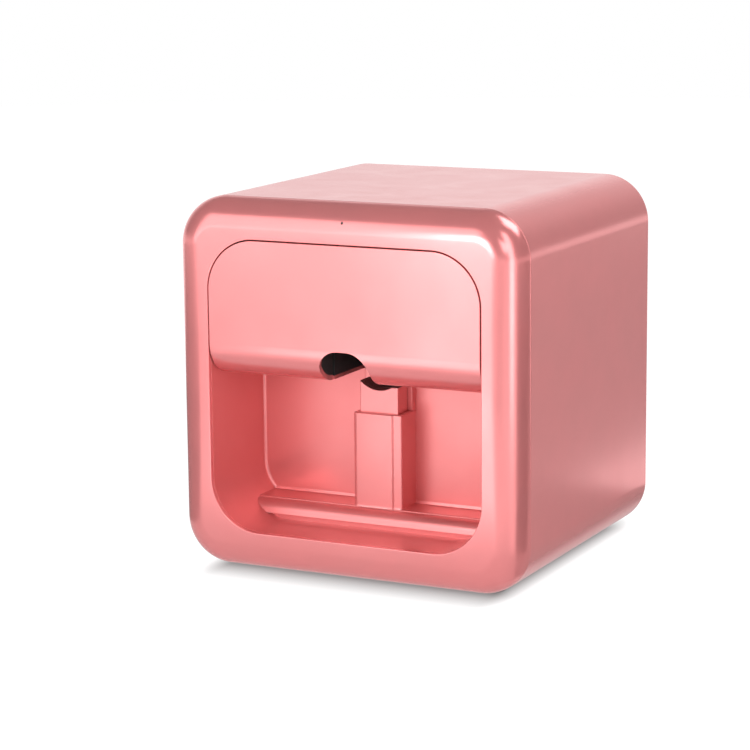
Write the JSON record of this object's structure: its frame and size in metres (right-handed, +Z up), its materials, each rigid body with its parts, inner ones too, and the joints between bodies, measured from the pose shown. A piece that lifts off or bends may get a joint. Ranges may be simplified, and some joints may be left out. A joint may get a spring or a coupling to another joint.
{
  "type": "nail art printer",
  "caption": "Desktop nail art printer: a rounded cube casing with an open hand bay, a sprung finger rest, a lift-up front door and a sliding ink carriage inside.",
  "frame": {"origin": "on the surface under the feet, below the middle of the body", "axes": "+X to the user's right, +Y from the open front towards the rear panel, +Z up"},
  "size_m": [0.2, 0.183, 0.202],
  "materials": {
    "outer_sleeve": "satin pink paint over moulded plastic",
    "front_bezel": "satin pink paint over moulded plastic",
    "rear_panel": "satin pink paint over moulded plastic",
    "case_screws": "zinc plated",
    "status_light": "clear light guide",
    "rubber_feet": "soft matte",
    "hand_bay_liner": "satin moulded plastic",
    "print_chamber": "matte black",
    "door_strikes": "plain sheet",
    "light_board": "solder mask",
    "light_emitters": "clear over white",
    "finger_post": "satin moulded plastic",
    "finger_guide_rail": "satin moulded plastic",
    "finger_rest": "satin moulded plastic",
    "finger_rest_spring": "spring wire",
    "spring_guide_pin": "turned",
    "front_door": "satin pink paint over moulded plastic",
    "door_notch_hood": "matte black",
    "door_hinge_arms": "glass filled",
    "hinge_brackets": "glass filled",
    "hinge_pins": "ground",
    "door_magnets": "nickel plated",
    "door_arm_screws": "zinc plated",
    "base_plate": "zinc plated sheet",
    "side_frame_left": "zinc plated sheet",
    "side_frame_right": "zinc plated sheet",
    "rod_holders": "glass filled",
    "depth_rods": "ground",
    "lead_screw": "rolled",
    "depth_motor": "drawn can",
    "gantry_block_left": "glass filled",
    "gantry_block_right": "glass filled",
    "gantry_bushes": "sintered bronze",
    "lead_nut": "turned",
    "cross_rods": "ground",
    "gantry_beam": "zinc plated sheet",
    "drive_pulley": "turned",
    "idler_pulley": "turned",
    "idler_pin": "turned",
    "cross_motor": "drawn can",
    "drive_belt": "moulded belt",
    "carriage_frame": "glass filled",
    "carriage_bushes": "sintered bronze",
    "ink_cartridge": "moulded",
    "cartridge_latch": "moulded",
    "latch_pin": "ground",
    "camera_module": "moulded",
    "camera_lens": "coated",
    "capping_station": "moulded",
    "cap_seal": "soft",
    "power_button": "satin",
    "button_housing": "moulded",
    "power_switch": "moulded",
    "power_inlet": "moulded",
    "data_port": "plated shell",
    "fan_frame": "moulded",
    "fan_rotor": "moulded",
    "main_board": "solder mask",
    "heat_sink": "anodised",
    "board_components": "moulded"
  },
  "bodies": {
    "casing": {"outer_sleeve": "outer_sleeve", "front_bezel": "front_bezel", "rear_panel": "rear_panel", "case_screws": "case_screws", "status_light": "status_light", "rubber_feet": "rubber_feet", "hand_bay_liner": "hand_bay_liner", "print_chamber": "print_chamber", "door_strikes": "door_strikes", "light_board": "light_board", "light_emitters": "light_emitters", "finger_post": "finger_post", "finger_guide_rail": "finger_guide_rail", "finger_rest_spring": "finger_rest_spring", "spring_guide_pin": "spring_guide_pin", "hinge_brackets": "hinge_brackets", "hinge_pins": "hinge_pins", "base_plate": "base_plate", "side_frame_left": "side_frame_left", "side_frame_right": "side_frame_right", "rod_holders": "rod_holders", "depth_rods": "depth_rods", "depth_motor": "depth_motor", "capping_station": "capping_station", "cap_seal": "cap_seal", "button_housing": "button_housing", "power_switch": "power_switch", "power_inlet": "power_inlet", "data_port": "data_port", "fan_frame": "fan_frame", "main_board": "main_board", "heat_sink": "heat_sink", "board_components": "board_components"},
    "door": {"front_door": "front_door", "door_notch_hood": "door_notch_hood", "door_hinge_arms": "door_hinge_arms", "door_magnets": "door_magnets", "door_arm_screws": "door_arm_screws"},
    "finger_slide": {"finger_rest": "finger_rest"},
    "button": {"power_button": "power_button"},
    "gantry": {"gantry_block_left": "gantry_block_left", "gantry_block_right": "gantry_block_right", "gantry_bushes": "gantry_bushes", "lead_nut": "lead_nut", "cross_rods": "cross_rods", "gantry_beam": "gantry_beam", "idler_pin": "idler_pin", "cross_motor": "cross_motor", "drive_belt": "drive_belt"},
    "screw": {"lead_screw": "lead_screw"},
    "carriage": {"carriage_frame": "carriage_frame", "carriage_bushes": "carriage_bushes", "ink_cartridge": "ink_cartridge", "latch_pin": "latch_pin", "camera_module": "camera_module", "camera_lens": "camera_lens"},
    "drive_wheel": {"drive_pulley": "drive_pulley"},
    "idler_wheel": {"idler_pulley": "idler_pulley"},
    "latch": {"cartridge_latch": "cartridge_latch"},
    "fan": {"fan_rotor": "fan_rotor"}
  },
  "joints": [
    {"name": "door_hinge", "type": "hinge", "parent": "casing", "child": "door", "pos_m": [0, -0.0845, 0.191], "axis": [-1, 0, 0], "range_deg": [0, 85]},
    {"name": "finger_slide_travel", "type": "slide", "parent": "casing", "child": "finger_slide", "axis": [0, 0, 1], "range_m": [-0.01, 0], "stiffness_N_per_m": 150, "springref_m": 0.005, "deforming": ["finger_rest_spring"]},
    {"name": "power_button_press", "type": "slide", "parent": "casing", "child": "button", "axis": [0, -1, 0], "range_m": [0, 0.0015], "stiffness_N_per_m": 600, "springref_m": -0.001},
    {"name": "gantry_travel", "type": "slide", "parent": "casing", "child": "gantry", "axis": [0, -1, 0], "range_m": [0, 0.03]},
    {"name": "lead_screw_turn", "type": "hinge", "parent": "casing", "child": "screw", "pos_m": [0.076, 0, 0.158], "axis": [0, 1, 0], "continuous": true},
    {"name": "carriage_travel", "type": "slide", "parent": "gantry", "child": "carriage", "axis": [-1, 0, 0], "range_m": [0, 0.066]},
    {"name": "drive_pulley_turn", "type": "hinge", "parent": "gantry", "child": "drive_wheel", "pos_m": [-0.057, 0.031, 0.157], "axis": [0, -1, 0], "continuous": true},
    {"name": "idler_pulley_turn", "type": "hinge", "parent": "gantry", "child": "idler_wheel", "pos_m": [0.057, 0.031, 0.157], "axis": [0, -1, 0], "continuous": true},
    {"name": "cartridge_latch_lift", "type": "hinge", "parent": "carriage", "child": "latch", "pos_m": [0.046, 0.01, 0.173], "axis": [-1, 0, 0], "range_deg": [0, 55]},
    {"name": "fan_turn", "type": "hinge", "parent": "casing", "child": "fan", "pos_m": [-0.05, 0.08, 0.059], "axis": [0, 1, 0], "continuous": true}
  ],
  "couplings": [
    {"joint": "lead_screw_turn", "follows": "gantry_travel", "rad_per_m": 1570.8},
    {"joint": "drive_pulley_turn", "follows": "carriage_travel", "rad_per_m": 144.93},
    {"joint": "idler_pulley_turn", "follows": "carriage_travel", "rad_per_m": 144.93}
  ]
}
